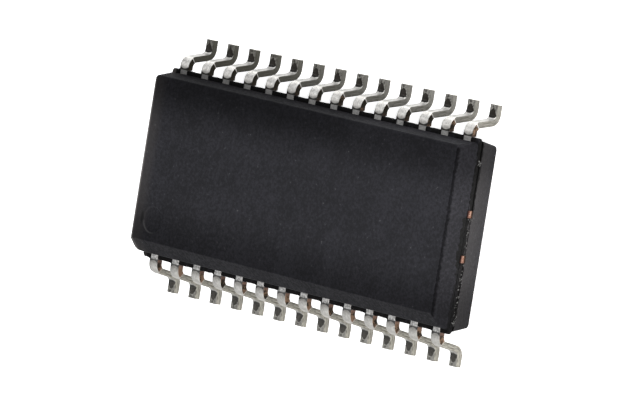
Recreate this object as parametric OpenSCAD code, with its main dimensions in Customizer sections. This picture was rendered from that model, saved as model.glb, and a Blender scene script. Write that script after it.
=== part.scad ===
// Small-outline integrated circuit: wide moulded body with gull-wing leads on both long sides.
// Millimetres. The origin is the middle of the footprint, on the seating plane, with +Z up.
// Lead 1 is at -X -Y. The first row runs along -Y towards +X, the second along +Y back towards -X.

/* [Moulded body] */
// Length of the body
body_l = 17.9; // [17.7:0.05:18.4]
// Width of the body's lower half
body_w = 7.5; // [7.2:0.05:7.6]
// Height of the top face above the seating plane
body_top = 2.36; // [2.1:0.02:2.65]
// Free height under the body
standoff = 0.22; // [0.1:0.01:0.3]
// Draft angle of the mould's walls
draft = 10; // [5:1:14]
// How far each long wall of the upper half stands in from the lower half
upper_inset = 0.09; // [0:0.01:0.15]
// How far each end wall of the upper half stands in from the lower half
upper_end_inset = 0.02; // [0:0.01:0.1]
// Radius of the upright corners at the parting line
corner_r = 0.28; // [0.15:0.01:0.4]
// Flats that make up a quarter turn of an upright corner
corner_flats = 4; // [2:1:6]
// Edge break round the top and bottom faces
edge_break = 0.05; // [0.02:0.01:0.1]
// Width on the top face of the 45 degree bevel along the side of lead 1
bevel = 0.41; // [0.25:0.01:0.6]
// How far the parting ledge stands out of the lower half's long walls
ledge_out = 0.08; // [0.04:0.01:0.1]
// Chamfer at each corner of the parting ledge
ledge_chamfer = 0.12; // [0.05:0.01:0.2]
// How far the parting ledge ends short of the upper half's end walls
ledge_short = 0.04; // [0.02:0.01:0.1]

/* [Index mark and ejector marks] */
// Diameter of the index dimple at lead 1
dimple_d = 1.15; // [0.6:0.05:1.3]
// Depth of the index dimple
dimple_depth = 0.06; // [0.02:0.01:0.15]
// Distance from the body's end to the dimple's centre
dimple_from_end = 1.24; // [1:0.02:1.6]
// Distance from the body's long side to the dimple's centre
dimple_from_side = 1.53; // [1.3:0.02:2]
// Diameter of the two ejector marks on the underside
ejector_d = 1.4; // [1:0.1:2]
// Depth of the ejector marks
ejector_depth = 0.03; // [0.01:0.01:0.06]
// Distance between the ejector marks' centres
ejector_gap = 11; // [8:0.5:13]

/* [Leads] */
// Leads along each side, an even number
leads_per_side = 14; // [8:2:14]
// Distance between neighbouring leads
pitch = 1.27; // [1.2:0.01:1.27]
// Distance between the toes of the two rows
toe_span = 10.3; // [10.2:0.02:10.6]
// Width of a lead
lead_w = 0.42; // [0.33:0.01:0.45]
// Thickness of the lead frame's strip
lead_t = 0.25; // [0.18:0.01:0.26]
// Width of the shoulder, where the dam bar was cut away
shoulder_w = 0.5; // [0.48:0.01:0.56]
// Turn of the shoulder bend that keeps the shoulder's width
shoulder_turn = 50; // [30:1:60]
// Height of the strip's underside where it leaves the body
lead_z = 1.18; // [1.1:0.01:1.3]
// Angle by which the leg turns down
leg_angle = 80; // [75:1:88]
// Inner radius of the shoulder bend
shoulder_r = 0.19; // [0.12:0.01:0.25]
// Inner radius of the foot bend
foot_r = 0.21; // [0.15:0.01:0.25]
// Flat length of the foot
foot_l = 0.4; // [0.35:0.01:0.45]

/* [Lead frame inside the body] */
// Length of the die paddle
paddle_l = 5.2; // [4.6:0.1:5.6]
// Distance from each long side of the die paddle to the body's side, where the fingers run
finger_zone = 1.9; // [1.84:0.02:2]
// How far the paddle is set down from the leads
downset = 0.2; // [0.1:0.01:0.3]
// Width of a tie bar
tie_w = 0.28; // [0.2:0.01:0.34]
// Distance between the two tie bars' centres
tie_gap = 1.76; // [1.6:0.02:1.8]
// How far a cut tie bar stands out of the end wall
tie_stub = 0.03; // [0.01:0.01:0.06]
// How deep inside the paddle's edge a tie bar begins
tie_root = 0.1; // [0.06:0.01:0.15]
// Length of a tie bar's slope outside the paddle
tie_slope = 0.4; // [0.3:0.02:0.6]
// Gap between a tie bar and the first fingertip
tie_clear = 0.17; // [0.12:0.01:0.25]
// Width of a finger's tip
tip_w = 0.22; // [0.16:0.01:0.24]
// Gap between the paddle's end and the fingertips there
tip_gap_end = 0.3; // [0.25:0.01:0.4]
// Gap between the paddle's long side and the fingertips there
tip_gap_side = 0.4; // [0.35:0.01:0.45]
// How far past the paddle's side the last fingertip at its end stands
tip_past_side = 0.35; // [0.3:0.01:0.4]
// Distance between fingertips along the paddle's side
side_tip_pitch = 0.6; // [0.55:0.01:0.62]
// Straight run of a finger from the body's side inwards
finger_run = 0.55; // [0.45:0.01:0.6]
// How much deeper each finger to the paddle's end turns than its neighbour
finger_step = 0.3; // [0.25:0.01:0.32]

/* [Die and bond wires] */
// Paddle left free at each end of the die
paddle_end_rim = 0.9; // [0.7:0.05:1.2]
// Paddle left free along each side of the die
paddle_side_rim = 0.4; // [0.25:0.05:0.6]
// Thickness of the die
die_t = 0.28; // [0.2:0.01:0.35]
// Thickness of the die attach
attach_t = 0.025; // [0.015:0.005:0.05]
// How far the die attach shows round the die
attach_margin = 0.1; // [0.05:0.01:0.15]
// Distance from the die's edge to the bond pads
pad_inset = 0.1; // [0.08:0.01:0.15]
// Distance between bond pads
pad_pitch = 0.38; // [0.3:0.01:0.4]
// Diameter of a bond wire
wire_d = 0.03; // [0.02:0.005:0.05]
// Height of a wire's loop above the die
loop_h = 0.18; // [0.12:0.01:0.25]
// Distance from a wire's ball to the top of its loop
loop_peak = 0.2; // [0.14:0.01:0.25]
// Distance from a fingertip to the wire's stitch
stitch_inset = 0.15; // [0.1:0.01:0.25]

/* [Hidden] */
LEADS = 2 * leads_per_side;
LEAD_NAMES = [for (n = [1:LEADS]) str("lead_", n < 10 ? "0" : "", n)];
WIRE_NAMES = [for (n = [1:LEADS]) str("bond_wire_", n < 10 ? "0" : "", n)];

$fn = 48;

strip_top = lead_z + lead_t;
parting_z = lead_z + lead_t / 2;

// Body half sizes at the parting line.
lower_half = [body_l / 2, body_w / 2];
upper_half = [lower_half.x - upper_end_inset, lower_half.y - upper_inset];
ledge_half = [upper_half.x - ledge_short, lower_half.y + ledge_out];
top_half_w = upper_half.y - (body_top - strip_top) * tan(draft);
CUT = 0.1; // overshoot of every cutting solid

// Lead profile: the leg's length brings the foot's underside down to the seating plane.
foot_outer_r = foot_r + lead_t;
bend_drop = (shoulder_r + foot_outer_r) * (1 - cos(leg_angle));
leg_l = (lead_z - bend_drop) / sin(leg_angle);
toe_reach = (shoulder_r + foot_outer_r) * sin(leg_angle) + leg_l * cos(leg_angle) + foot_l;
bend_y = toe_span / 2 - toe_reach;

// Fingers inside the body: the outer ones end at the paddle's ends, the others along its sides.
END_TIPS = floor(leads_per_side / 4);
paddle_w = body_w - 2 * finger_zone;
first_tip_y = tie_gap / 2 + tie_w / 2 + tie_clear + tip_w / 2;
last_tip_y = paddle_w / 2 + tip_past_side;
end_tip_pitch = (last_tip_y - first_tip_y) / (END_TIPS - 1);
turn_y = body_w / 2 - finger_run;

paddle_z = lead_z - downset;
tie_sink = lead_t / 6; // keeps a tie bar's root inside the paddle's thickness
die_l = paddle_l - 2 * paddle_end_rim;
die_w = paddle_w - 2 * paddle_side_rim;
die_z = paddle_z + lead_t + attach_t;
pad_z = die_z + die_t;

WIRE_SIDES = 6;
BALL_SPREAD = 1.4; // radius of the squashed ball, in wire diameters
BALL_RISE = 0.7; // height of the squashed ball, in wire diameters
KNEE = [0.15, 0.75, 70]; // ring below the loop's top: shares of its distance and height, and direction
LOOP_STEPS = [0, 0.25, 0.6, 0.97]; // rings along the falling part of a loop, as shares of its length
FALL_START = 0.3; // share of the fall's slope that the wire has at the top

// Position of a lead in its row, counted from -X, and the side it stands on.
function row_place(n) = n <= leads_per_side ? n - 1 : LEADS - n;
function row_side(n) = n <= leads_per_side ? -1 : 1;
function end_rank(i) = min(i, leads_per_side - 1 - i);
function lead_x(rank) = -(leads_per_side - 1) / 2 * pitch + rank * pitch;

// Fingertip, the point where the finger turns, and bond pad of the lead that is rank places from the end.
function side_rank(rank) = leads_per_side / 2 - 1 - rank;
function at_end(rank) = rank < END_TIPS;
function tip_point(rank) = at_end(rank)
    ? [-(paddle_l / 2 + tip_gap_end), first_tip_y + end_tip_pitch * rank]
    : [-side_tip_pitch * (side_rank(rank) + 0.5), paddle_w / 2 + tip_gap_side];
function turn_point(rank) = [lead_x(rank), min(turn_y, turn_y - (END_TIPS - rank) * finger_step)];
function pad_point(rank) = at_end(rank)
    ? [-(die_l / 2 - pad_inset), die_w / 2 - pad_inset - pad_pitch * (END_TIPS - rank)]
    : [-pad_pitch * (side_rank(rank) + 0.5), die_w / 2 - pad_inset];

// Unit vector from one point to another, and that vector turned to the left.
function unit(from, to) = (to - from) / norm(to - from);
function left(v) = [-v.y, v.x];

// Puts a piece drawn for the -X +Y quarter where lead n belongs.
module place(n) {
    mirror([0, row_side(n) < 0 ? 1 : 0, 0])
        mirror([row_place(n) * 2 >= leads_per_side ? 1 : 0, 0, 0])
            children();
}

// ---------- moulded body ----------

// One direction of a drafted block: an endless bar, upright from the parting plane to z_wide,
// with walls that lean in from there to z_narrow.
module drafted_bar(half, z_wide, z_narrow) {
    up = sign(z_narrow - z_wide);
    lean = abs(z_narrow - z_wide) * tan(draft);
    break_lean = edge_break * tan(draft);
    section = [
        [half, parting_z],
        [half, z_wide],
        [half - lean + break_lean, z_narrow - up * edge_break],
        [half - lean - edge_break, z_narrow],
    ];
    rotate([90, 0, 0])
        linear_extrude(2 * body_l, center = true)
            polygon(concat(section, [for (k = [len(section) - 1:-1:0]) [-section[k].x, section[k].y]]));
}

// Reach of a rounded rectangle in direction a.
function reach(half, a) = (half.x - corner_r) * abs(cos(a)) + (half.y - corner_r) * abs(sin(a)) + corner_r;

// Half of the body: drafted walls all round, and corners of flats that follow corner_r.
module mould_half(half, z_wide, z_narrow) {
    intersection_for(k = [0:2 * corner_flats - 1]) {
        a = k * 90 / corner_flats;
        rotate([0, 0, a]) drafted_bar(reach(half, a), z_wide, z_narrow);
    }
}

// Ledge along both rows of leads, as thick as the lead frame.
module parting_ledge() {
    x = ledge_half.x;
    y = ledge_half.y;
    c = ledge_chamfer;
    translate([0, 0, lead_z])
        linear_extrude(lead_t)
            polygon([
                [x, y - c], [x - c, y], [c - x, y], [-x, y - c],
                [-x, c - y], [c - x, -y], [x - c, -y], [x, c - y],
            ]);
}

module bevel_cut() {
    y = top_half_w - bevel;
    deep = body_top - strip_top;
    translate([-body_l, 0, 0])
        rotate([90, 0, 90])
            linear_extrude(2 * body_l)
                polygon([[CUT - y, body_top + CUT], [-y - deep, body_top - deep], [-y - deep, body_top + CUT]]);
}

module index_dimple() {
    translate([dimple_from_end - body_l / 2, dimple_from_side - body_w / 2, body_top - dimple_depth])
        cylinder(d = dimple_d, h = dimple_depth + CUT);
}

module ejector_marks() {
    for (side = [-1, 1])
        translate([side * ejector_gap / 2, 0, standoff - CUT])
            cylinder(d = ejector_d, h = ejector_depth + CUT);
}

module body() {
    color([0.13, 0.13, 0.14])
        difference() {
            union() {
                mould_half(lower_half, lead_z, standoff);
                parting_ledge();
                difference() {
                    mould_half(upper_half, strip_top, body_top);
                    bevel_cut();
                }
            }
            index_dimple();
            ejector_marks();
            for (n = [1:LEADS]) {
                lead_strip(n);
                wire_sweep(n);
            }
            paddle_plate();
            attach_layer();
            die_block();
        }
}

// ---------- leads ----------

// A flat run of the strip along +Y, with its underside on z = 0.
module strip(length, width) {
    translate([-width / 2, 0, 0]) cube([width, length, lead_t]);
}

// A bend of the strip about the X axis, from straight up towards +Y.
module bend(inner_r, turn, width) {
    rotate([0, -90, 0])
        rotate_extrude(angle = turn)
            translate([inner_r, -width / 2]) square([lead_t, width]);
}

// Plan of the flat part: tapered fingertip, turn, straight run through the wall, and wider shoulder.
module finger_plan(rank) {
    tip = tip_point(rank);
    corner = turn_point(rank);
    along = unit(corner, tip);
    across = left(along) * tip_w / 2;
    mitre = lead_w / 2 * tan(atan2(along.x, -along.y) / 2);
    dam_y = min(ledge_half.y, bend_y - ledge_out); // wide for at least a short straight run before the bend
    x = corner.x;
    polygon([
        [x - shoulder_w / 2, bend_y], [x - shoulder_w / 2, dam_y],
        [x - lead_w / 2, dam_y], [x - lead_w / 2, corner.y - mitre],
        tip - across, tip + across,
        [x + lead_w / 2, corner.y + mitre], [x + lead_w / 2, dam_y],
        [x + shoulder_w / 2, dam_y], [x + shoulder_w / 2, bend_y],
    ]);
}

// Leg and foot, drawn from the start of the shoulder bend at y = 0.
module gull_wing() {
    translate([0, 0, -shoulder_r]) {
        bend(shoulder_r, shoulder_turn, shoulder_w);
        bend(shoulder_r, leg_angle, lead_w);
        rotate([-leg_angle, 0, 0]) translate([0, 0, shoulder_r]) {
            strip(leg_l, lead_w);
            translate([0, leg_l, foot_outer_r]) {
                mirror([0, 0, 1]) bend(foot_r, leg_angle, lead_w);
                rotate([leg_angle, 0, 0]) translate([0, 0, -foot_outer_r]) strip(foot_l, lead_w);
            }
        }
    }
}

module lead_strip(n) {
    rank = end_rank(row_place(n));
    place(n) {
        translate([0, 0, lead_z]) linear_extrude(lead_t) finger_plan(rank);
        translate([lead_x(rank), bend_y, lead_z]) gull_wing();
    }
}

module lead(n) {
    color([0.78, 0.78, 0.76]) union() lead_strip(n);
}

// ---------- die paddle, die and wires ----------

// Side view of a tie bar: from inside the paddle's edge, up the downset, and out through the end wall.
module tie_bar() {
    root = paddle_l / 2 - tie_root;
    head = paddle_l / 2 + tie_slope;
    outer = body_l / 2 + tie_stub;
    rotate([90, 0, 0])
        linear_extrude(tie_w, center = true)
            polygon([
                [root, paddle_z + tie_sink], [head, lead_z], [outer, lead_z],
                [outer, strip_top], [head, strip_top], [root, paddle_z + lead_t - tie_sink],
            ]);
}

module paddle_plate() {
    translate([-paddle_l / 2, -paddle_w / 2, paddle_z]) cube([paddle_l, paddle_w, lead_t]);
    for (end = [0, 180], side = [-1, 1])
        rotate([0, 0, end]) translate([0, side * tie_gap / 2, 0]) tie_bar();
}

module die_paddle() {
    color([0.74, 0.47, 0.34]) union() paddle_plate();
}

module attach_layer() {
    size = [die_l + 2 * attach_margin, die_w + 2 * attach_margin, attach_t];
    translate([-size.x / 2, -size.y / 2, die_z - attach_t]) cube(size);
}

module die_attach() {
    color([0.7, 0.7, 0.68]) attach_layer();
}

module die_block() {
    translate([-die_l / 2, -die_w / 2, die_z]) cube([die_l, die_w, die_t]);
}

module die() {
    color([0.32, 0.35, 0.4]) die_block();
}

// Rings of a wire in its own upright plane: [distance, height, direction of travel, radius].
// Ball on the pad, neck, top of the loop, fall to the finger, and stitch.
function wire_rings(span, drop) =
    let (
        r = wire_d / 2,
        ball_r = BALL_SPREAD * wire_d,
        ball_h = BALL_RISE * wire_d,
        low = r - drop,
        fall = atan2(loop_h - low, span - loop_peak)
    )
    concat(
        [
            [0, 0, 90, ball_r],
            [0, ball_h, 90, ball_r],
            [0, ball_h + r, 90, r],
            [KNEE[0] * loop_peak, KNEE[1] * loop_h, KNEE[2], r],
        ],
        [
            for (u = LOOP_STEPS)
                let (along = loop_peak + (span - loop_peak) * u, height = loop_h + (low - loop_h) * u)
                [along, height, -fall * min(1, FALL_START + u), r]
        ],
        [[span + wire_d, -drop, -90, 1.5 * r]]
    );

// Points of one ring, lying across the direction of travel.
function ring_points(ring) = [
    for (k = [0:WIRE_SIDES - 1])
        let (a = 360 * k / WIRE_SIDES, up = ring[3] * cos(a), side = ring[3] * sin(a))
        [ring[0] - up * sin(ring[2]), side, ring[1] + up * cos(ring[2])]
];

// Triangles of a closed tube of rings with WIRE_SIDES points each.
function tube_faces(rings) =
    let (s = WIRE_SIDES)
    concat(
        [[for (k = [0:s - 1]) k]],
        [
            for (j = [0:rings - 2], k = [0:s - 1], half = [0, 1])
                let (a = j * s + k, b = j * s + (k + 1) % s)
                half == 0 ? [a, a + s, b] : [b, a + s, b + s]
        ],
        [[for (k = [s - 1:-1:0]) (rings - 1) * s + k]]
    );

module wire_sweep(n) {
    rank = end_rank(row_place(n));
    pad = pad_point(rank);
    stitch = tip_point(rank) + stitch_inset * unit(tip_point(rank), turn_point(rank));
    rings = wire_rings(norm(stitch - pad), pad_z - strip_top);
    direction = unit(pad, stitch);
    place(n)
        translate([pad.x, pad.y, pad_z])
            rotate([0, 0, atan2(direction.y, direction.x)])
                polyhedron(points = [for (r = rings, p = ring_points(r)) p], faces = tube_faces(len(rings)));
}

module bond_wire(n) {
    color([0.88, 0.72, 0.32]) wire_sweep(n);
}

body();
for (n = [1:LEADS]) lead(n);
die_paddle();
die_attach();
die();
for (n = [1:LEADS]) bond_wire(n);
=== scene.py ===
"""Looks of a small-outline integrated circuit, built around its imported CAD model.

Metres, in the row frame: +X along the body, +Z up, the floor at z = 0.
The moulded body and the leads are finer meshes that stand for their CAD solids.
The lead frame's other parts, the die and the bond wires keep their CAD meshes.
"""

import math
import random

import bmesh
import bpy
from mathutils import Euler, Matrix, Vector, noise

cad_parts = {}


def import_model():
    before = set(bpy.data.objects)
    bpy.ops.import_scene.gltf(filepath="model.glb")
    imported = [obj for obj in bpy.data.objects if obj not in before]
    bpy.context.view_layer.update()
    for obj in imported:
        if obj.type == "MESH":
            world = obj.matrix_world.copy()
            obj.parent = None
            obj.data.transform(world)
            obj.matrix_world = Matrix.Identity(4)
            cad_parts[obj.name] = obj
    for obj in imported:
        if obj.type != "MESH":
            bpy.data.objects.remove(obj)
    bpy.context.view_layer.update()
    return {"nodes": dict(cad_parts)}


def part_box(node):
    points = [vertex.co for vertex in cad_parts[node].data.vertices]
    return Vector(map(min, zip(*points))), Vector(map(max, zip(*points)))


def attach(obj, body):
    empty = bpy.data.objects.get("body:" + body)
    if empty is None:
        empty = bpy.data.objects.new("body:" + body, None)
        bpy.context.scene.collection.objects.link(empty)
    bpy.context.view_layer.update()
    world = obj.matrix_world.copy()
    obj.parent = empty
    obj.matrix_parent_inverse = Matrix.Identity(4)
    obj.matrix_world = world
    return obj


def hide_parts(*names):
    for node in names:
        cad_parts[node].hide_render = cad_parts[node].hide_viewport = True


MM = 0.001
SMOOTH_ANGLE = math.radians(32)

# One seed for all that is random. Without it, noise.noise_vector starts from the clock.
SEED = 7
noise.seed_set(SEED)

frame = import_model()
nodes = frame["nodes"]

LEAD_NAMES = sorted(name for name in nodes if name.startswith("lead_"))
WIRE_NAMES = sorted(name for name in nodes if name.startswith("bond_wire_"))

# Moulded body: its box comes from the frame, the rest are the mould's own values.
body_low, body_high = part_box("body")
DRAFT = math.radians(10)
PARTING_LOW = 1.18 * MM
PARTING_HIGH = 1.43 * MM
LEDGE_OUT = 0.08 * MM
GROOVE = 0.06 * MM
UPPER_INSET = 0.09 * MM
UPPER_END_INSET = 0.02 * MM
CORNER_R = 0.16 * MM
EDGE_R = 0.08 * MM
EDGE_TURN = math.radians(80)
EDGE_STEPS = 6
BEVEL = 0.41 * MM
TOP_END = body_high.x - UPPER_END_INSET - (body_high.z - PARTING_HIGH) * math.tan(DRAFT)
DIMPLE_R = 0.575 * MM
DIMPLE_DEPTH = 0.06 * MM
DIMPLE_CENTRE = Vector((body_low.x + 1.24 * MM, body_low.y + LEDGE_OUT + 1.53 * MM, body_high.z))
EJECTOR_R = 0.7 * MM
EJECTOR_DEPTH = 0.03 * MM
EJECTOR_X = 5.5 * MM

# The -X end of the moulding: all that lies past MOVED_END stands out by END_SPARE.
MOVED_END = -8.4 * MM
END_SPARE = 0.06 * MM

# The ledge between the halves: its shape, the waves in its edges, and the flash on it.
LEDGE_CHAMFER = 0.09 * MM
LEDGE_DROP = 0.02 * MM
LEDGE_ROUND = 0.03 * MM
LEDGE_LEVELS = 6
EDGE_LIFT = 0.012 * MM
EDGE_WAVE = 0.3 * MM
FLASH_STEP = 0.05 * MM
FLASH_WAVE = 0.22 * MM
FLASH_COARSE = 0.014 * MM
FLASH_FINE = 0.008 * MM
END_RAGGEDNESS = 2.2
CLIMB_OUT = 0.06 * MM
CLIMB_WIDTH = 0.07 * MM

# Clusters of resin crumbs: their places along Y on the +X end, and the number and spread of those at -X.
CRUMB_PLACES = [y * MM for y in (2.9, 0.6, 0.15, -0.3, -0.75, -1.25, -1.6, -1.9, -2.3, -2.7, -3.1, -3.4)]
FAR_CLUSTERS = 5
FAR_SPREAD = 3.3 * MM

# Leads: thickness, widths and bends of the strip.
LEAD_T = PARTING_HIGH - PARTING_LOW
LEAD_W = 0.42 * MM
BURIED_W = 0.38 * MM
SHOULDER_W = 0.5 * MM
SHOULDER_TURN = math.radians(55)
LEG_ANGLE = math.radians(80)
SHOULDER_R = 0.19 * MM
FOOT_R = 0.21 * MM
FOOT_L = 0.4 * MM
LEAD_EDGE_R = 0.014 * MM
TOE_BREAK = 0.012 * MM
BURIED_L = 0.4 * MM
LEAD_UNEVEN = 0.006 * MM
LEAD_WAVE = 0.13 * MM
SHOULDER_STEPS = 16
LEG_STEPS = 5
HEEL_STEPS = 12
FOOT_STEPS = 4
STRIP = "strip"

# The strip's middle line: its height at the body, its bends' radii, the leg's length and the whole reach.
STRIP_Z = PARTING_LOW + LEAD_T / 2
SHOULDER_MID = SHOULDER_R + LEAD_T / 2
FOOT_MID = FOOT_R + LEAD_T / 2
LEG_L = (STRIP_Z - LEAD_T / 2 - (SHOULDER_MID + FOOT_MID) * (1 - math.cos(LEG_ANGLE))) / math.sin(LEG_ANGLE)
TOE_REACH = (SHOULDER_MID + FOOT_MID) * math.sin(LEG_ANGLE) + LEG_L * math.cos(LEG_ANGLE) + FOOT_L

# Where the strip comes out of the ledge and turns wide.
DAM_OUT = body_high.y + 0.02 * MM


def foot_centre(name):
    """Where the CAD lead's foot is: its middle along X, and the toe's place along Y."""
    foot = [v.co for v in nodes[name].data.vertices if v.co.z < LEAD_T]
    middle = (min(p.x for p in foot) + max(p.x for p in foot)) / 2
    toe = max(foot, key=lambda p: abs(p.y)).y
    return middle, toe


feet = {name: foot_centre(name) for name in LEAD_NAMES}

# Runs along the strip from the ledge: to the first bend, the shoulder's end, the foot's flat and the toe.
# The painted dark reflection on the foot starts at POOL_RUN, a little before the foot's flat.
STRAIGHT_RUN = abs(feet[LEAD_NAMES[0]][1]) - TOE_REACH - DAM_OUT
WIDE_RUN = STRAIGHT_RUN + SHOULDER_MID * SHOULDER_TURN
FOOT_RUN = STRAIGHT_RUN + (SHOULDER_MID + FOOT_MID) * LEG_ANGLE + LEG_L
TOE_RUN = FOOT_RUN + FOOT_L
POOL_RUN = FOOT_RUN - 0.20 * MM


# ---------- helpers ----------

def mesh_object(name, bm):
    """The bmesh as a shown object, smooth where its faces meet at a small angle."""
    mesh = bpy.data.meshes.new(name)
    bmesh.ops.recalc_face_normals(bm, faces=bm.faces)
    bm.to_mesh(mesh)
    bm.free()
    mesh.shade_smooth()
    mesh.set_sharp_from_angle(angle=SMOOTH_ANGLE)
    piece = bpy.data.objects.new(name, mesh)
    bpy.context.scene.collection.objects.link(piece)
    return piece


def loft(bm, rings):
    """Faces between rings with the same number of points, and a cap on the first and last ring."""
    loops = [[bm.verts.new(point) for point in ring] for ring in rings]
    for low, high in zip(loops, loops[1:]):
        for k in range(len(low)):
            j = (k + 1) % len(low)
            bm.faces.new((low[k], low[j], high[j], high[k]))
    bm.faces.new(reversed(loops[0]))
    bm.faces.new(loops[-1])


def rounded_rectangle(centre_x, centre_y, radius, steps=6):
    """Points of a rounded rectangle whose corner arcs turn about (+-centre_x, +-centre_y)."""
    points = []
    for quarter, (side_x, side_y) in enumerate(((1, 1), (-1, 1), (-1, -1), (1, -1))):
        for step in range(steps + 1):
            angle = math.radians(90) * (quarter + step / steps)
            points.append((
                side_x * centre_x + radius * math.cos(angle),
                side_y * centre_y + radius * math.sin(angle),
            ))
    return points


def revolve(bm, profile, centre, steps=64):
    """A closed solid of revolution about the upright axis through centre, from [(radius, z), ...]."""
    rings = []
    for radius, z in profile:
        rings.append([
            centre + Vector((radius * math.cos(a), radius * math.sin(a), z))
            for a in (math.tau * k / steps for k in range(steps))
        ])
    loft(bm, rings)


def finish_piece(piece, material, slot_name, *replaced):
    """Gives a piece its material, fixes it to the root and hides the CAD nodes it stands for."""
    piece.data.materials.append(material)
    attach(piece, "root")
    if replaced:
        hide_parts(*replaced)


# ---------- shader helpers ----------

class Shader:
    """A Principled material whose nodes are added one call at a time."""

    def __init__(self, name, **surface):
        self.material = bpy.data.materials.new(name)
        self.material.use_nodes = True
        self.tree = self.material.node_tree
        self.bsdf = self.tree.nodes["Principled BSDF"]
        coordinates = self.add("ShaderNodeTexCoord")
        self.place = coordinates.outputs["Object"]
        self.facing = coordinates.outputs["Normal"]
        for socket, value in surface.items():
            self.bsdf.inputs[socket.replace("_", " ")].default_value = value

    def add(self, kind, inputs=None, **settings):
        """A new node with its settings, and each input linked to a socket or set to a value."""
        made = self.tree.nodes.new(kind)
        for key, value in settings.items():
            setattr(made, key, value)
        for key, value in (inputs or {}).items():
            if isinstance(value, bpy.types.NodeSocket):
                self.tree.links.new(value, made.inputs[key])
            else:
                made.inputs[key].default_value = value
        return made

    def math(self, operation, *values):
        return self.add("ShaderNodeMath", dict(enumerate(values)), operation=operation).outputs[0]

    def product(self, first, *others):
        """All the values multiplied."""
        for other in others:
            first = self.math("MULTIPLY", first, other)
        return first

    def total(self, first, *others):
        """All the values added."""
        for other in others:
            first = self.math("ADD", first, other)
        return first

    def less(self, value, taken):
        return self.math("SUBTRACT", value, taken)

    def rest(self, value, share=1.0):
        """What is left of 1 when a share of value is taken off."""
        return self.less(1.0, self.product(value, share))

    def swing(self, noise, width):
        """Noise turned into a shift to both sides of 0, of up to half the width."""
        return self.product(self.less(noise, 0.5), width)

    def axes(self, vector):
        split = self.add("ShaderNodeSeparateXYZ", {0: vector})
        return split.outputs["X"], split.outputs["Y"], split.outputs["Z"]

    def noise(self, size, detail=2.0, roughness=0.5, stretch=None, place=None):
        """Noise whose grains are about size metres across."""
        place = place or self.place
        if stretch:
            place = self.add("ShaderNodeMapping", {"Vector": place, "Scale": stretch}).outputs[0]
        inputs = {"Vector": place, "Scale": 1 / size, "Detail": detail, "Roughness": roughness}
        return self.add("ShaderNodeTexNoise", inputs).outputs["Fac"]

    def step(self, value, low, high, to_low=0.0, to_high=1.0):
        """Value as it goes smoothly from to_low at low to to_high at high."""
        inputs = {"Value": value, "From Min": low, "From Max": high, "To Min": to_low, "To Max": to_high}
        return self.add("ShaderNodeMapRange", inputs, interpolation_type="SMOOTHSTEP").outputs[0]

    def band(self, value, low, high, soft):
        """1 between low and high, 0 outside, with soft edges."""
        return self.product(self.step(value, low - soft, low), self.step(value, high, high + soft, 1.0, 0.0))

    def blob(self, u, v, centre_u, centre_v, half_u, half_v):
        """Squared distance from the middle of an oval, which is 1 on its edge."""
        along_u = self.math("DIVIDE", self.less(u, centre_u), half_u)
        along_v = self.math("DIVIDE", self.less(v, centre_v), half_v)
        return self.total(self.product(along_u, along_u), self.product(along_v, along_v))

    def mix(self, factor, first, second):
        """The colour first where factor is 0, and second where it is 1."""
        inputs = {"Factor": factor, "A": first, "B": second}
        made = self.tree.nodes.new("ShaderNodeMix")
        made.data_type = "RGBA"
        for key, value in inputs.items():
            socket = next(s for s in made.inputs if s.name == key and (key == "Factor" or s.type == "RGBA"))
            if isinstance(value, bpy.types.NodeSocket):
                self.tree.links.new(value, socket)
            else:
                socket.default_value = value if key == "Factor" else (*value, 1.0)
        return next(s for s in made.outputs if s.type == "RGBA")

    def bump(self, height, distance):
        """A relief of that height, which is distance metres for a value of 1."""
        inputs = {"Height": height, "Distance": distance, "Strength": 1.0}
        bumped = self.add("ShaderNodeBump", inputs).outputs[0]
        self.tree.links.new(bumped, self.bsdf.inputs["Normal"])

    def surface(self, socket, value):
        """Links value to a socket of the Principled surface."""
        self.tree.links.new(value, self.bsdf.inputs[socket])


# ---------- materials ----------

def mould_compound():
    """Charcoal epoxy with a fine spark-eroded surface, a lighter lower half, a black parting line, and
    painted highlights, sheen and shade.
    """
    shader = Shader("mould_compound", IOR=1.3)
    x, y, z = shader.axes(shader.place)
    mottle = shader.noise(0.11 * MM, detail=3.0, roughness=0.65)
    cloud = shader.noise(1.6 * MM, detail=2.0)
    tone = shader.total(shader.product(mottle, 0.75), shader.product(cloud, 0.25))
    colour = shader.mix(shader.step(tone, 0.4, 0.62), (0.0115, 0.0113, 0.0138), (0.0195, 0.019, 0.024))
    colour = lower_half_and_painted_end_highlight(shader, colour, x, z)
    colour = dimple_painted_light(shader, colour, x, y)
    specks = shader.step(shader.noise(0.11 * MM, detail=1.0), 0.76, 0.82)
    colour = shader.mix(shader.product(specks, 0.35), colour, (0.16, 0.155, 0.15))
    colour = parting_band(shader, colour, x, y, z)

    # Painted sheen: colour and specular fade as painted shade towards the long sides, most of all at the +Y
    # side's -X end, past the top's +X edge, and on the painted shade along that edge.
    faded = shader.product(shader.step(y, 1.2 * MM, 3.2 * MM), shader.step(x, 0.0, 4.0 * MM, 0.66, 0.5))
    faded = shader.math("MAXIMUM", faded, shader.step(y, -1.0 * MM, -3.0 * MM, 0.0, 0.5))
    painted_end_wall_shade = shader.step(x, TOP_END, TOP_END + 0.06 * MM, 1.0, 0.82)
    painted_sheen = shader.product(shader.rest(faded), painted_end_wall_shade, shader.rest(painted_edge_shade(shader, x, z), 0.7))
    shader.surface("Base Color", shader.mix(painted_sheen, (0.0, 0.0, 0.0), colour))
    shader.surface("Specular IOR Level", shader.product(painted_sheen, 0.5))
    shader.surface("Roughness", shader.step(tone, 0.3, 0.7, 0.88, 0.68))
    shader.bump(shader.total(shader.noise(0.07 * MM, detail=2.0), mottle), 0.012 * MM)
    return shader.material


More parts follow.
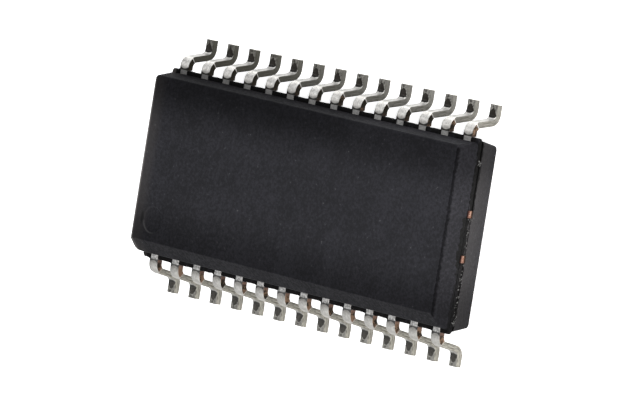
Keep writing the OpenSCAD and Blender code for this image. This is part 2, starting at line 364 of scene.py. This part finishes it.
def lower_half_and_painted_end_highlight(shader, colour, x, z):
    """Colour lighter on the lower half, with a painted highlight towards the -X end and a brighter painted
    highlight on its edge.
    """
    # The lower half is lighter, most of all towards the parting line.
    below_parting = shader.step(z, PARTING_HIGH, PARTING_LOW)
    lighter_lower_half = shader.product(below_parting, shader.step(z, 0.0, PARTING_LOW, 0.3, 0.7))
    colour = shader.mix(lighter_lower_half, colour, (0.046, 0.0432, 0.0443))
    # Painted highlight towards the -X end, and a brighter painted highlight on the very edge.
    painted_end_highlight = shader.step(x, -7.9 * MM, -8.6 * MM, 0.0, 0.7)
    colour = shader.mix(painted_end_highlight, colour, (0.040, 0.036, 0.036))
    painted_edge_highlight = shader.step(x, -8.68 * MM, -8.76 * MM, 0.0, 0.9)
    return shader.mix(painted_edge_highlight, colour, (0.16, 0.145, 0.14))


def dimple_painted_light(shader, colour, x, y):
    """Colour with a painted highlight on the index dimple's rim, strongest at -X -Y, and painted shade beside
    it at -X.
    """
    middle = DIMPLE_CENTRE
    # Painted highlight along the rim.
    rim = shader.band(shader.blob(x, y, middle.x, middle.y, DIMPLE_R, DIMPLE_R), 0.80, 0.90, 0.06)
    towards = shader.total(shader.product(shader.less(x, middle.x), 0.6), shader.less(y, middle.y))
    rim = shader.product(rim, shader.step(towards, -0.5 * DIMPLE_R, -1.1 * DIMPLE_R, 0.12, 0.85))
    colour = shader.mix(rim, colour, (0.062, 0.061, 0.063))
    # Painted shade beside the dimple at -X.
    shade = shader.blob(x, y, middle.x - 1.06 * DIMPLE_R, middle.y, 0.1 * MM, 0.32 * MM)
    return shader.mix(shader.step(shade, 1.0, 0.2, 0.0, 0.75), colour, (0.004, 0.004, 0.004))


def painted_edge_shade(shader, x, z):
    """1 on the uneven line of painted shade along the top's +X edge, 0 away from it."""
    wander = shader.swing(shader.noise(0.12 * MM, detail=3.0), 0.13 * MM)
    past_edge = shader.product(shader.less(x, TOP_END), 2.4)
    depth = shader.total(past_edge, z, wander)
    return shader.step(depth, body_high.z - 0.12 * MM, body_high.z - 0.04 * MM)


def parting_band(shader, colour, x, y, z):
    """Colour with the ragged black parting line, whose height and width vary along the end walls."""
    ragged = shader.swing(shader.noise(0.2 * MM, detail=3.0), 0.28 * MM)
    at_end = shader.step(shader.math("ABSOLUTE", x), body_high.x - 0.3 * MM, body_high.x - 0.2 * MM)
    lifted = shader.product(at_end, shader.step(y, 0.5 * MM, 1.1 * MM, 0.08 * MM, -0.06 * MM))
    torn = shader.product(at_end, shader.step(y, -0.8 * MM, -1.3 * MM, 0.0, 0.09 * MM))
    widened = shader.product(at_end, shader.band(y, -1.0 * MM, 0.6 * MM, 0.3 * MM), 0.08 * MM)
    height = shader.total(shader.less(z, lifted), ragged)
    above = shader.step(shader.total(height, torn), PARTING_LOW - 0.02 * MM, PARTING_LOW)
    below = shader.step(shader.less(height, widened), PARTING_HIGH, PARTING_HIGH + 0.02 * MM, 1.0, 0.0)
    fainter = shader.product(at_end, shader.step(y, -0.9 * MM, -1.4 * MM, 0.0, 0.2))
    black = shader.mix(at_end, (0.005, 0.0042, 0.0042), (0.0015, 0.0013, 0.0013))
    return shader.mix(shader.product(above, below, shader.less(0.97, fainter)), colour, black)


def flash_crumbs():
    """Dusty grey resin crumbs."""
    shader = Shader("flash_crumbs")
    tone = shader.noise(0.06 * MM, detail=2.0)
    shader.surface("Base Color", shader.mix(tone, (0.03, 0.029, 0.028), (0.11, 0.109, 0.106)))
    shader.surface("Roughness", shader.step(tone, 0.3, 0.7, 0.9, 0.7))
    shader.bump(tone, 0.01 * MM)
    return shader.material


class PlatedStrip(Shader):
    """Shader of a lead, painted along its strip: across the width, and by the run from the ledge."""

    def __init__(self, name):
        super().__init__(name, Metallic=1.0)
        strip = self.add("ShaderNodeAttribute", attribute_name=STRIP).outputs["Vector"]
        self.across, _, self.run = self.axes(strip)
        self.grain = self.noise(0.09 * MM, detail=3.0, roughness=0.6)
        self.cloud = self.noise(0.4 * MM, detail=2.0)
        self.streak = self.noise(0.035 * MM, detail=1.0, stretch=(1.0, 1.0, 0.12), place=strip)
        facing_x, _, self.facing_up = self.axes(self.facing)
        self.along_body, self.row, _ = self.axes(self.place)
        # Painted shade that deepens towards the -X end, and the same painted shade on the +Y row alone.
        self.painted_shade_to_minus_x = self.step(self.along_body, 5 * MM, -8 * MM)
        self.painted_far_end_shade = self.product(self.by_row(0.0, 1.0), self.painted_shade_to_minus_x)
        # The sheared sides, and of those the wide shoulder's, where the dam bar was cut away.
        self.side = self.step(self.math("ABSOLUTE", facing_x), 0.6, 0.8)
        wide = self.step(self.math("ABSOLUTE", self.across), 0.215 * MM, 0.23 * MM)
        self.cut = self.product(self.side, wide)

    def by_row(self, low_row, high_row):
        """One value for the leads at -Y, and another for those at +Y."""
        return self.step(self.row, -1 * MM, 1 * MM, low_row, high_row)

    def tin(self):
        """Bright grainy tin, duller along the leg and next to the ledge, with painted shade on the -Y row."""
        colour = self.mix(self.step(self.grain, 0.3, 0.65), (0.62, 0.60, 0.565), (0.93, 0.905, 0.865))
        colour = self.mix(self.step(self.cloud, 0.5, 0.7, 0.0, 0.4), colour, (0.36, 0.34, 0.32))
        leg = self.band(self.run, WIDE_RUN + 0.1 * MM, FOOT_RUN - 0.32 * MM, 0.1 * MM)
        colour = self.mix(self.product(leg, 0.8), colour, (0.36, 0.355, 0.34))
        # Painted shade on the -Y row.
        painted_darkening = self.product(self.by_row(1.0, 0.0), self.step(self.run, 0.25 * MM, 0.4 * MM, 0.5, 0.92))
        colour = self.mix(painted_darkening, colour, (0.28, 0.271, 0.25))
        return self.mix(self.step(self.run, 0.09 * MM, 0.26 * MM, 0.8, 0.0), colour, (0.20, 0.19, 0.175))

    def sheared_sides(self, colour):
        """Colour with streaks on the strip's sheared sides, pale at -Y, and at +Y an olive painted shade that
        deepens towards -X.
        """
        sheared = self.mix(self.step(self.streak, 0.35, 0.62), (0.06, 0.055, 0.04), (0.30, 0.288, 0.25))
        # Olive painted shade on the +Y row, deeper towards -X, and more painted shade at its -X end.
        painted_olive_shade = self.product(self.by_row(0.0, 1.0), self.step(self.along_body, 8 * MM, 0.0, 0.5, 0.75))
        sheared = self.mix(painted_olive_shade, sheared, (0.028, 0.026, 0.019))
        sheared = self.mix(self.product(self.painted_far_end_shade, 0.8), sheared, (0.03, 0.028, 0.018))
        cover = self.total(0.92, self.product(self.painted_far_end_shade, 0.08))
        return self.mix(self.product(self.side, cover), colour, sheared)

    def cut_shoulder(self, colour):
        """Colour with brown copper where the dam bar was cut away, and a bright burr at its end, the copper
        darkened by painted shade at the +Y row's -X end.
        """
        patch = self.total(self.product(self.grain, 0.4), self.product(self.cloud, 0.6))
        patch = self.total(patch, self.by_row(0.07, 0.02))
        # Painted shade darkens the copper at the +Y row's -X end, here and below.
        patch = self.less(patch, self.product(self.painted_far_end_shade, 0.14))
        copper = self.mix(self.step(patch, 0.5, 0.62), (0.014, 0.011, 0.007), (0.15, 0.095, 0.062))
        tarnish = self.product(self.step(self.run, 0.16 * MM, 0.04 * MM), self.by_row(0.6, 0.15))
        copper = self.mix(tarnish, copper, (0.18, 0.11, 0.09))
        copper = self.mix(self.product(self.painted_far_end_shade, 0.75), copper, (0.02, 0.017, 0.011))
        colour = self.mix(self.cut, colour, copper)
        burr = self.band(self.run, WIDE_RUN - 0.025 * MM, WIDE_RUN + 0.01 * MM, 0.01 * MM)
        return self.mix(self.product(self.side, burr, self.by_row(0.4, 0.7)), colour, (0.70, 0.69, 0.66))

    def ledge_patch(self, colour):
        """Colour with a grey end at the ledge, darkened by painted shade at the +Y row's -X end, and a dark
        bowed gap where the plating begins.
        """
        bow = self.product(self.math("POWER", self.math("DIVIDE", self.across, LEAD_W / 2), 2.0), 0.06 * MM)
        bare = self.product(self.step(self.less(self.run, bow), 0.065 * MM, 0.035 * MM), self.rest(self.cut))
        grey = self.mix(self.by_row(0.0, 1.0), (0.50, 0.49, 0.475), (0.28, 0.272, 0.262))
        grey = self.mix(self.step(self.grain, 0.35, 0.65), (0.22, 0.215, 0.21), grey)
        # Painted shade on the grey at the +Y row's -X end.
        grey = self.mix(self.product(self.painted_far_end_shade, 0.7), grey, (0.07, 0.068, 0.065))
        colour = self.mix(bare, colour, grey)
        gap = self.product(bare, self.step(self.run, -0.02 * MM, 0.0), self.by_row(0.88, 1.0), 0.93)
        return self.mix(gap, colour, (0.014, 0.013, 0.011))

    def foot(self, colour):
        """Colour with a painted dark reflection on the foot's upper face, paler on the -Y row and towards +X,
        and darkest at the +Y row's -X end.
        """
        on_foot = self.step(self.run, FOOT_RUN - 0.06 * MM, FOOT_RUN)
        painted_darkening = self.mix(self.step(self.grain, 0.38, 0.62), (0.05, 0.047, 0.04), (0.21, 0.20, 0.18))
        pale = self.product(self.by_row(0.6, 0.12), self.rest(self.painted_shade_to_minus_x, 0.5))
        painted_darkening = self.mix(pale, painted_darkening, (0.36, 0.35, 0.32))
        painted_darkening = self.mix(self.product(self.painted_far_end_shade, 0.7), painted_darkening, (0.045, 0.042, 0.032))
        # Painted dark reflection on the faces that look up.
        return self.mix(self.product(on_foot, self.step(self.facing_up, 0.5, 0.8), 0.95), colour, painted_darkening)

    def foot_reflection_and_spot(self):
        """How dark the foot's marks are: a pool of painted dark reflection against the foot's bend, and a
        fainter dark spot near the toe.
        """
        wobble = self.swing(self.grain, 0.9)
        taper = self.step(self.run, POOL_RUN, POOL_RUN + 0.42 * MM, 1.3, 0.7)
        tapered = self.math("DIVIDE", self.across, taper)
        # Painted dark reflection pooled against the foot's bend.
        reflection_pool = self.blob(tapered, self.run, -0.02 * MM, POOL_RUN + 0.21 * MM, 0.215 * MM, 0.25 * MM)
        reflection_pool = self.step(self.total(reflection_pool, wobble), 1.05, 0.8)
        spot = self.blob(self.across, self.run, -0.04 * MM, TOE_RUN - 0.09 * MM, 0.06 * MM, 0.05 * MM)
        spot = self.product(self.step(self.total(spot, wobble), 1.0, 0.6), 0.75)
        dark = self.math("MAXIMUM", reflection_pool, spot)
        return self.product(dark, self.step(self.facing_up, 0.35, 0.6), self.by_row(0.88, 1.0))


def tin_plating():
    """Matte tin on a formed lead, bare and brown where the strip was cut, with painted shade towards -X, and
    painted dark reflection and a dark spot on its foot.
    """
    shader = PlatedStrip("tin_plating")
    colour = shader.sheared_sides(shader.tin())
    colour = shader.cut_shoulder(colour)
    colour = shader.ledge_patch(colour)
    colour = shader.foot(colour)
    dark = shader.foot_reflection_and_spot()
    shader.surface("Base Color", shader.mix(shader.product(dark, 0.97), colour, (0.014, 0.012, 0.010)))
    rough = shader.step(shader.grain, 0.3, 0.7, 0.56, 0.42)
    shader.surface("Roughness", shader.less(rough, shader.product(dark, 0.15)))
    shader.surface("Metallic", shader.rest(shader.side, 0.5))
    matt = shader.math("MAXIMUM", shader.cut, dark)
    shader.surface("Specular IOR Level", shader.less(0.5, shader.product(matt, 0.4)))
    shader.bump(shader.total(shader.grain, shader.noise(0.045 * MM, detail=1.0)), 0.006 * MM)
    return shader.material


def copper_ends():
    """Bare copper alloy, bright where it was sheared, with a reddish tarnish."""
    shader = Shader("copper_ends", Metallic=1.0)
    grain = shader.noise(0.08 * MM, detail=2.0)
    colour = shader.mix(shader.step(grain, 0.4, 0.62), (0.32, 0.19, 0.14), (0.17, 0.085, 0.06))
    _, _, z = shader.axes(shader.place)
    height = shader.total(z, shader.swing(grain, 0.1 * MM))
    colour = shader.mix(shader.step(height, 1.28 * MM, 1.25 * MM, 0.0, 0.95), colour, (0.012, 0.008, 0.005))
    colour = shader.mix(shader.step(height, 1.35 * MM, 1.39 * MM, 0.0, 0.85), colour, (0.06, 0.024, 0.02))
    shader.surface("Base Color", colour)
    shader.surface("Roughness", shader.step(grain, 0.3, 0.7, 0.4, 0.6))
    shader.bump(grain, 0.004 * MM)
    return shader.material


def silver_epoxy():
    """Grey die attach, filled with silver flakes."""
    shader = Shader("silver_epoxy", Metallic=0.6)
    flakes = shader.noise(0.03 * MM, detail=3.0, roughness=0.7)
    shader.surface("Base Color", shader.mix(flakes, (0.30, 0.30, 0.29), (0.66, 0.66, 0.64)))
    shader.surface("Roughness", shader.step(flakes, 0.3, 0.7, 0.6, 0.35))
    shader.bump(flakes, 0.003 * MM)
    return shader.material


def silicon():
    """Polished silicon with the faint tiled relief of a circuit."""
    shader = Shader("silicon", Metallic=0.0)
    inputs = {"Vector": shader.place, "Scale": 1 / (0.35 * MM)}
    tiles = shader.add("ShaderNodeTexBrick", inputs).outputs["Fac"]
    haze = shader.noise(0.4 * MM, detail=2.0)
    colour = shader.mix(tiles, (0.07, 0.08, 0.11), (0.18, 0.16, 0.20))
    shader.surface("Base Color", shader.mix(shader.product(haze, 0.4), colour, (0.05, 0.10, 0.10)))
    shader.surface("Roughness", shader.step(haze, 0.3, 0.7, 0.12, 0.22))
    shader.bump(tiles, 0.001 * MM)
    return shader.material


def gold():
    """Drawn gold wire."""
    shader = Shader("gold", Metallic=1.0)
    drawn = shader.noise(0.01 * MM, detail=1.0)
    shader.surface("Base Color", shader.mix(drawn, (0.83, 0.58, 0.22), (0.95, 0.74, 0.36)))
    shader.surface("Roughness", shader.step(drawn, 0.3, 0.7, 0.18, 0.3))
    shader.bump(drawn, 0.0005 * MM)
    return shader.material


# ---------- moulded body ----------

def mould_half(half_x, half_y, z_wide, z_narrow):
    """Half of the body, from the parting plane: a set-back neck, drafted walls and a rounded edge."""
    up = 1 if z_narrow > z_wide else -1
    straight = abs(z_narrow - z_wide) - EDGE_R
    drafted = straight * math.tan(DRAFT)
    leans = [(GROOVE, -LEAD_T / 2), (GROOVE, 0.0), (0.0, 0.0), (drafted, straight)]
    for step in range(1, EDGE_STEPS + 1):
        turn = EDGE_TURN * step / EDGE_STEPS
        rise = straight + EDGE_R * math.sin(turn) / math.sin(EDGE_TURN)
        leans.append((drafted + EDGE_R * (1 - math.cos(turn)), rise))
    bm = bmesh.new()
    rings = []
    for lean, rise in leans:
        outline = rounded_rectangle(half_x - CORNER_R - lean, half_y - CORNER_R - lean, CORNER_R)
        rings.append([Vector((x, y, z_wide + up * rise)) for x, y in outline])
    loft(bm, rings)
    return bm


def cut_bevel(bm, half_y):
    """Takes the 45 degree bevel off the upper half's edge on the side of lead 1."""
    top_half = half_y - (body_high.z - PARTING_HIGH) * math.tan(DRAFT)
    on_bevel = Vector((0, BEVEL - top_half, body_high.z))
    geometry = bm.verts[:] + bm.edges[:] + bm.faces[:]
    cut = bmesh.ops.bisect_plane(bm, geom=geometry, plane_co=on_bevel, plane_no=(0, -1, 1), clear_outer=True)
    rim = [item for item in cut["geom_cut"] if isinstance(item, bmesh.types.BMEdge)]
    bmesh.ops.edgeloop_fill(bm, edges=rim)


def dish(bm, centre, radius, depth, up):
    """A shallow round cutter with a soft rim, and its floor depth below centre."""
    soft = depth * 1.4
    profile = [
        (radius - soft, -depth),
        (radius - soft * 0.7, -depth * 0.85),
        (radius - soft * 0.15, -depth * 0.12),
        (radius, 0.0),
        (radius, depth),
    ]
    revolve(bm, [(r, up * z) for r, z in profile], centre)


def mould_marks():
    """Cutters of the index dimple in the top and of the two ejector marks in the underside."""
    bm = bmesh.new()
    dish(bm, DIMPLE_CENTRE, DIMPLE_R, DIMPLE_DEPTH, 1)
    for side in (-1, 1):
        dish(bm, Vector((side * EJECTOR_X, 0, body_low.z)), EJECTOR_R, EJECTOR_DEPTH, -1)
    return mesh_object("mould_marks", bm)


def moulded_body():
    """Both halves in one, with the bevel and the marks cut, and flat faces that shade flat."""
    half_x = body_high.x
    half_y = body_high.y - LEDGE_OUT
    lower = mould_half(half_x, half_y, PARTING_LOW, body_low.z)
    upper = mould_half(half_x - UPPER_END_INSET, half_y - UPPER_INSET, PARTING_HIGH, body_high.z)
    cut_bevel(upper, half_y - UPPER_INSET)
    lower_half = mesh_object("mould_lower", lower)
    piece = mesh_object("moulded_body", upper)
    for other, operation in ((lower_half, "UNION"), (mould_marks(), "DIFFERENCE")):
        boolean = piece.modifiers.new(operation.lower(), "BOOLEAN")
        boolean.object = other
        boolean.operation = operation
    apply_modifiers(piece)
    spare_end(piece)
    piece.data.shade_smooth()
    piece.data.set_sharp_from_angle(angle=SMOOTH_ANGLE)
    piece.modifiers.new("flat_faces", "WEIGHTED_NORMAL").keep_sharp = True
    return piece


def apply_modifiers(piece):
    """Turns the modifiers into the mesh, and removes the objects that they used."""
    bpy.context.view_layer.update()
    evaluated = piece.evaluated_get(bpy.context.evaluated_depsgraph_get())
    mesh = bpy.data.meshes.new_from_object(evaluated)
    used = [modifier.object for modifier in piece.modifiers]
    piece.modifiers.clear()
    piece.data = mesh
    for other in used:
        bpy.data.objects.remove(other)


def spare_end(piece):
    """Moves the -X end out a little: mouldings come out longer than their nominal length."""
    for vert in piece.data.vertices:
        if vert.co.x < MOVED_END:
            vert.co.x -= END_SPARE


# ---------- parting line ----------

def ledge_outline():
    """Close points round the ledge, whose corners are chamfered, each with its outward direction."""
    half_x = body_high.x - GROOVE * 0.6
    half_y = body_high.y
    flat_x = half_x - LEDGE_CHAMFER
    flat_y = half_y - LEDGE_CHAMFER
    corners = [
        (half_x, flat_y), (flat_x, half_y), (-flat_x, half_y), (-half_x, flat_y),
        (-half_x, -flat_y), (-flat_x, -half_y), (flat_x, -half_y), (half_x, -flat_y),
    ]
    outline = []
    for start, end in zip(map(Vector, corners), map(Vector, corners[1:] + corners[:1])):
        count = max(2, round((end - start).length / FLASH_STEP))
        outward = Vector((end.y - start.y, start.x - end.x)).normalized()
        outline += [(start.lerp(end, step / count), outward) for step in range(count)]
    return outline


def ledge_reach(x, y, z):
    """How far the flash stands out of the mould's parting line, uneven along it."""
    place = Vector((x, y, z)) / FLASH_WAVE
    return FLASH_COARSE * noise.noise(place) + FLASH_FINE * noise.noise(place * 3.1)


def climb(point, lead_centres):
    """Extra reach of the flash beside the nearest lead of that row, on its -X side."""
    row = [x for x, side in lead_centres if side * point.y > 0]
    nearest = min((point.x - x + LEAD_W * 0.6 for x in row), key=abs)
    near = math.exp(-(nearest / CLIMB_WIDTH) ** 2)
    return CLIMB_OUT * near * (0.6 + 0.4 * noise.noise(Vector((point.x, point.y, 0)) / MM))


def parting_ledge(lead_centres):
    """The resin between the mould halves, with flash that climbs the leads' -X sides."""
    outline = ledge_outline()
    rings = []
    for level in range(LEDGE_LEVELS + 1):
        height = level / LEDGE_LEVELS
        from_middle = 2 * height - 1
        z = PARTING_LOW + (PARTING_HIGH - LEDGE_DROP - PARTING_LOW) * height
        round_in = LEDGE_ROUND * abs(from_middle) ** 4
        ring = []
        for point, outward in outline:
            reach = ledge_reach(point.x, point.y, z) - round_in
            if abs(outward.y) > 0.9:
                reach += climb(point, lead_centres)
            elif abs(outward.x) > 0.9:
                reach *= END_RAGGEDNESS
            place = point + outward * reach
            wave = EDGE_LIFT * noise.noise(Vector((point.x, point.y, 0)) / EDGE_WAVE)
            ring.append(Vector((place.x, place.y, z + wave * from_middle)))
        rings.append(ring)
    bm = bmesh.new()
    loft(bm, rings)
    piece = mesh_object("parting_ledge", bm)
    spare_end(piece)
    return piece


def crumb(bm, rng, end, middle):
    """One uneven crumb of resin on an end wall, in the cluster at middle along Y."""
    size = rng.uniform(0.018, 0.06) * MM
    place = Vector((
        end * (body_high.x - rng.uniform(0.0, 0.03) * MM),
        middle + rng.gauss(0.0, 0.11) * MM,
        PARTING_LOW + rng.gauss(0.03, 0.05) * MM,
    ))
    spin = Euler([rng.uniform(0, math.tau) for _ in range(3)]).to_matrix().to_4x4()
    stretch = Matrix.Diagonal((size * rng.uniform(0.5, 1), size * rng.uniform(0.6, 1.6), size, 1))
    matrix = Matrix.Translation(place) @ spin @ stretch
    made = bmesh.ops.create_icosphere(bm, subdivisions=2, radius=0.5, matrix=matrix)
    for vert in made["verts"]:
        vert.co += noise.noise_vector(vert.co / (0.02 * MM)) * size * 0.22


def flash_specks(rng):
    """Clusters of resin crumbs left along the parting line of both end walls, most of them on one end."""
    clusters = [(1, y) for y in CRUMB_PLACES]
    clusters += [(-1, rng.uniform(-FAR_SPREAD, FAR_SPREAD)) for _ in range(FAR_CLUSTERS)]
    bm = bmesh.new()
    for end, middle in clusters:
        for _ in range(rng.randint(5, 12)):
            crumb(bm, rng, end, middle)
    return mesh_object("flash_specks", bm)


# ---------- leads ----------

def lead_profile(toe):
    """Middle line of a lead outside the body, as [(out, z, turn, width), ...], ending at toe."""
    stations = [
        (DAM_OUT - BURIED_L, STRIP_Z, 0.0, BURIED_W),
        (DAM_OUT, STRIP_Z, 0.0, BURIED_W),
        (DAM_OUT, STRIP_Z, 0.0, SHOULDER_W),
    ]
    start = toe - TOE_REACH
    for step in range(SHOULDER_STEPS + 1):
        turn = LEG_ANGLE * step / SHOULDER_STEPS
        width = SHOULDER_W if turn <= SHOULDER_TURN else LEAD_W
        if width < stations[-1][3]:
            stations.append((*stations[-1][:3], width))
        drop = SHOULDER_MID * (1 - math.cos(turn))
        stations.append((start + SHOULDER_MID * math.sin(turn), STRIP_Z - drop, turn, width))
    out, low = stations[-1][:2]
    for step in range(1, LEG_STEPS + 1):
        run = LEG_L * step / LEG_STEPS
        stations.append((out + run * math.cos(LEG_ANGLE), low - run * math.sin(LEG_ANGLE), LEG_ANGLE, LEAD_W))
    out, low = stations[-1][:2]
    for step in range(1, HEEL_STEPS + 1):
        turn = LEG_ANGLE * (1 - step / HEEL_STEPS)
        reach = FOOT_MID * (math.sin(LEG_ANGLE) - math.sin(turn))
        drop = FOOT_MID * (math.cos(turn) - math.cos(LEG_ANGLE))
        stations.append((out + reach, low - drop, turn, LEAD_W))
    out, low = stations[-1][:2]
    for step in range(1, FOOT_STEPS + 1):
        stations.append((out + (FOOT_L - TOE_BREAK / 2) * step / FOOT_STEPS, low, 0.0, LEAD_W))
    stations.append((out + FOOT_L, low, 0.0, LEAD_W - TOE_BREAK))
    return stations


def lead_mesh(name, centre_x, side, toe):
    """One gull-wing lead: a rounded strip swept along its bends, a little uneven as stamped metal is.

    Each point also keeps its place on the strip, as (across, up, run from the ledge).
    """
    rings = []
    strip = []
    run = -BURIED_L
    before = None
    for out, z, turn, width in lead_profile(toe):
        run += math.dist(before, (out, z)) if before else 0
        before = (out, z)
        section = rounded_rectangle(width / 2 - LEAD_EDGE_R, LEAD_T / 2 - LEAD_EDGE_R, LEAD_EDGE_R, steps=3)
        ring = []
        for across, up in section:
            place = Vector((centre_x + across, side * out, z + up))
            uneven = LEAD_UNEVEN * noise.noise(place / LEAD_WAVE)
            strip.append((across, up, run))
            up += uneven
            ring.append(Vector((
                centre_x + across * (1 + uneven / width),
                side * (out + up * math.sin(turn)),
                z + up * math.cos(turn),
            )))
        rings.append(ring)
    bm = bmesh.new()
    loft(bm, rings)
    piece = mesh_object(name, bm)
    places = piece.data.attributes.new(STRIP, "FLOAT_VECTOR", "POINT")
    places.data.foreach_set("vector", [value for place in strip for value in place])
    return piece


# ---------- the object ----------

tin = tin_plating()
resin = mould_compound()

lead_centres = []
for name, (middle, toe) in feet.items():
    side = 1 if toe > 0 else -1
    lead_centres.append((middle, side))
    lead = lead_mesh(f"formed_{name}", middle, side, abs(toe))
    finish_piece(lead, tin, "tin_plating", name)

finish_piece(moulded_body(), resin, "mould_compound", "body")
finish_piece(parting_ledge(lead_centres), resin, "mould_compound")
finish_piece(flash_specks(random.Random(SEED)), flash_crumbs(), "mould_compound")

wire_gold = gold()
cad_finishes = {"die_paddle": copper_ends(), "die_attach": silver_epoxy(), "die": silicon()}
cad_finishes.update({name: wire_gold for name in WIRE_NAMES})
for name, material in cad_finishes.items():
    for slot in nodes[name].material_slots:
        slot.material = material


# ---------- stage ----------

def floor_material():
    """Pale floor that takes the object's shadow, and looks white to the camera and in reflections."""
    shader = Shader("floor", Roughness=0.9)
    shader.bsdf.inputs["Base Color"].default_value = (0.86, 0.86, 0.86, 1.0)
    path = shader.add("ShaderNodeLightPath")
    seen = shader.math("MAXIMUM", path.outputs["Is Camera Ray"], path.outputs["Is Glossy Ray"])
    seen = shader.math("MAXIMUM", seen, path.outputs["Is Transmission Ray"])
    shader.bsdf.inputs["Emission Color"].default_value = (1.0, 1.0, 1.0, 1.0)
    shader.surface("Emission Strength", shader.product(seen, 0.85))
    return shader.material


def floor():
    """A wide round floor at z = 0."""
    bm = bmesh.new()
    bmesh.ops.create_circle(bm, cap_ends=True, segments=96, radius=2.0)
    piece = mesh_object("floor", bm)
    piece.data.materials.append(floor_material())


def area_lamp(name, direction, distance, size, power, colour=(1.0, 1.0, 1.0)):
    """A square soft box that looks at the object from direction."""
    lamp = bpy.data.lights.new(name, "AREA")
    lamp.size = size
    lamp.energy = power
    lamp.color = colour
    piece = bpy.data.objects.new(name, lamp)
    towards = Vector(direction).normalized()
    piece.location = towards * distance
    piece.rotation_euler = towards.to_track_quat("Z", "Y").to_euler()
    bpy.context.scene.collection.objects.link(piece)


def world():
    """A faint bluish light from all round."""
    made = bpy.data.worlds.new("studio")
    made.use_nodes = True
    background = made.node_tree.nodes["Background"]
    background.inputs["Color"].default_value = (0.85, 0.92, 1.0, 1.0)
    background.inputs["Strength"].default_value = 0.22
    bpy.context.scene.world = made


# The camera stands past the +X end, above it, with +Y upwards in the picture.
CAMERA_TARGET = Vector((-0.37, -0.06, 0.40)) * MM
CAMERA_DISTANCE = 332.13 * MM
CAMERA_DIRECTION = Vector((0.720052, 0.078859, 0.689425))
CAMERA_UP = Vector((-0.165317, 0.984410, 0.060061))
CAMERA_LENS = 474.0


def camera():
    """The camera at its place, whose long lens keeps the lead rows nearly parallel."""
    data = bpy.data.cameras.new("camera")
    data.lens = CAMERA_LENS
    data.sensor_width = 36.0
    data.clip_start = 0.01
    piece = bpy.data.objects.new("camera", data)
    back = CAMERA_DIRECTION.normalized()
    right = CAMERA_UP.cross(back).normalized()
    turn = Matrix((right, back.cross(right), back)).transposed()
    piece.matrix_world = Matrix.Translation(CAMERA_TARGET + back * CAMERA_DISTANCE) @ turn.to_4x4()
    bpy.context.scene.collection.objects.link(piece)
    bpy.context.scene.camera = piece


floor()
area_lamp("key", (1.0, -0.40, 0.32), 0.1, 0.06, 0.116, (1.0, 0.98, 0.95))
area_lamp("top", (0.1, -0.3, 1.0), 0.4, 0.3, 0.6)
area_lamp("left", (-0.5, -1.0, 0.45), 0.5, 0.4, 0.72)
area_lamp("right", (-0.5, 1.0, 0.45), 0.5, 0.4, 0.4)
area_lamp("corner", (0.8, 1.0, 0.35), 0.036, 0.014, 0.009)
area_lamp("back", (-1.0, 0.0, 0.9), 0.5, 0.3, 0.5)
world()
camera()
bpy.context.scene.view_settings.view_transform = "Standard"
